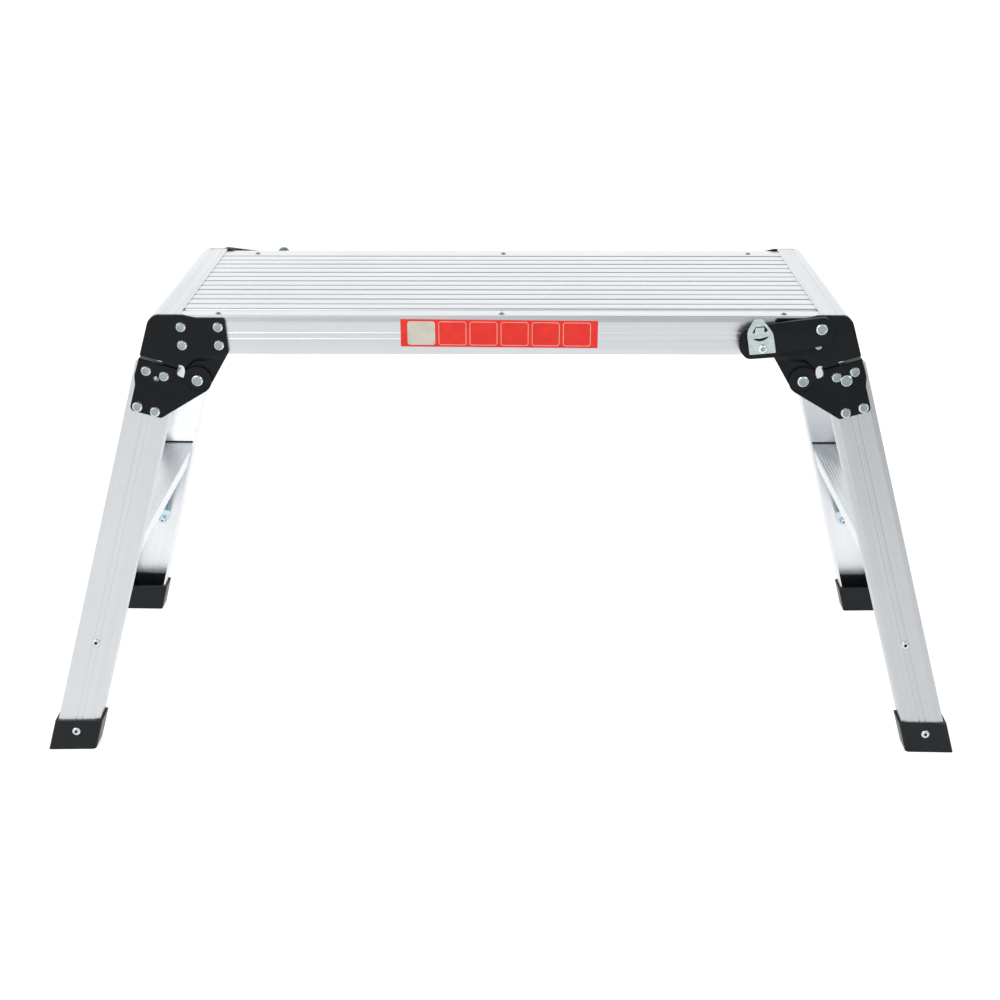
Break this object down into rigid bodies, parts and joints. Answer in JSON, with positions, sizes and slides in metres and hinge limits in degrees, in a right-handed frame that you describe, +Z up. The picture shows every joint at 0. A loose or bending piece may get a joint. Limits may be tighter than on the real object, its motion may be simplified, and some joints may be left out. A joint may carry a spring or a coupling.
{
  "type": "folding work platform",
  "caption": "Low folding work platform: a ribbed aluminium deck on raked leg frames that fold under it, each with a step, plastic feet and a lever lock at the hinge.",
  "frame": {"origin": "centre of the footprint, on the floor", "axes": "+X along the deck, +Y across it towards the rear, +Z up"},
  "size_m": [1.0362, 0.3958, 0.502],
  "materials": {
    "aluminium": "brushed lengthwise, mill finish",
    "black_plate": "satin black coating on pressed steel",
    "zinc": "bright zinc plating",
    "foot": "moulded charcoal plastic"
  },
  "bodies": {
    "deck": {"front_rail": "aluminium", "rear_rail": "aluminium", "deck_plank_1": "aluminium", "deck_plank_2": "aluminium", "deck_plank_3": "aluminium", "deck_plank_4": "aluminium", "deck_plank_5": "aluminium", "deck_plank_6": "aluminium", "left_cross_member": "aluminium", "middle_cross_member": "aluminium", "right_cross_member": "aluminium", "left_end_cap": "aluminium", "right_end_cap": "aluminium", "front_left_upper_plate": "black_plate", "front_right_upper_plate": "black_plate", "rear_left_upper_plate": "black_plate", "rear_right_upper_plate": "black_plate", "hinge_pivots": "zinc"},
    "left_leg": {"front_left_stile": "aluminium", "front_left_lower_plate": "black_plate", "front_left_foot": "foot", "rear_left_stile": "aluminium", "rear_left_lower_plate": "black_plate", "rear_left_foot": "foot", "left_tread": "aluminium", "left_knee_braces": "zinc", "rear_left_lock_pin": "zinc"},
    "right_leg": {"front_right_stile": "aluminium", "front_right_lower_plate": "black_plate", "front_right_foot": "foot", "rear_right_stile": "aluminium", "rear_right_lower_plate": "black_plate", "rear_right_foot": "foot", "right_tread": "aluminium", "right_knee_braces": "zinc", "front_right_lock_pin": "zinc"},
    "front_right_lever": {"front_right_lever": "black_plate", "front_right_lever_catch": "zinc", "front_right_lock_arm": "zinc", "front_right_lever_pin": "zinc"},
    "rear_left_lever": {"rear_left_lever": "black_plate", "rear_left_lever_catch": "zinc", "rear_left_lock_arm": "zinc", "rear_left_lever_pin": "zinc"}
  },
  "joints": [
    {"name": "left_leg_fold", "type": "hinge", "parent": "deck", "child": "left_leg", "pos_m": [-0.323, 0, 0.43], "axis": [0, -1, 0], "range_deg": [0, 105]},
    {"name": "right_leg_fold", "type": "hinge", "parent": "deck", "child": "right_leg", "pos_m": [0.323, 0, 0.43], "axis": [0, 1, 0], "range_deg": [0, 87]},
    {"name": "front_right_lever_lift", "type": "hinge", "parent": "deck", "child": "front_right_lever", "pos_m": [0.3368, -0.15, 0.4897], "axis": [0, 1, 0], "range_deg": [0, 20]},
    {"name": "rear_left_lever_lift", "type": "hinge", "parent": "deck", "child": "rear_left_lever", "pos_m": [-0.3368, 0.15, 0.4897], "axis": [0, -1, 0], "range_deg": [0, 20]}
  ]
}
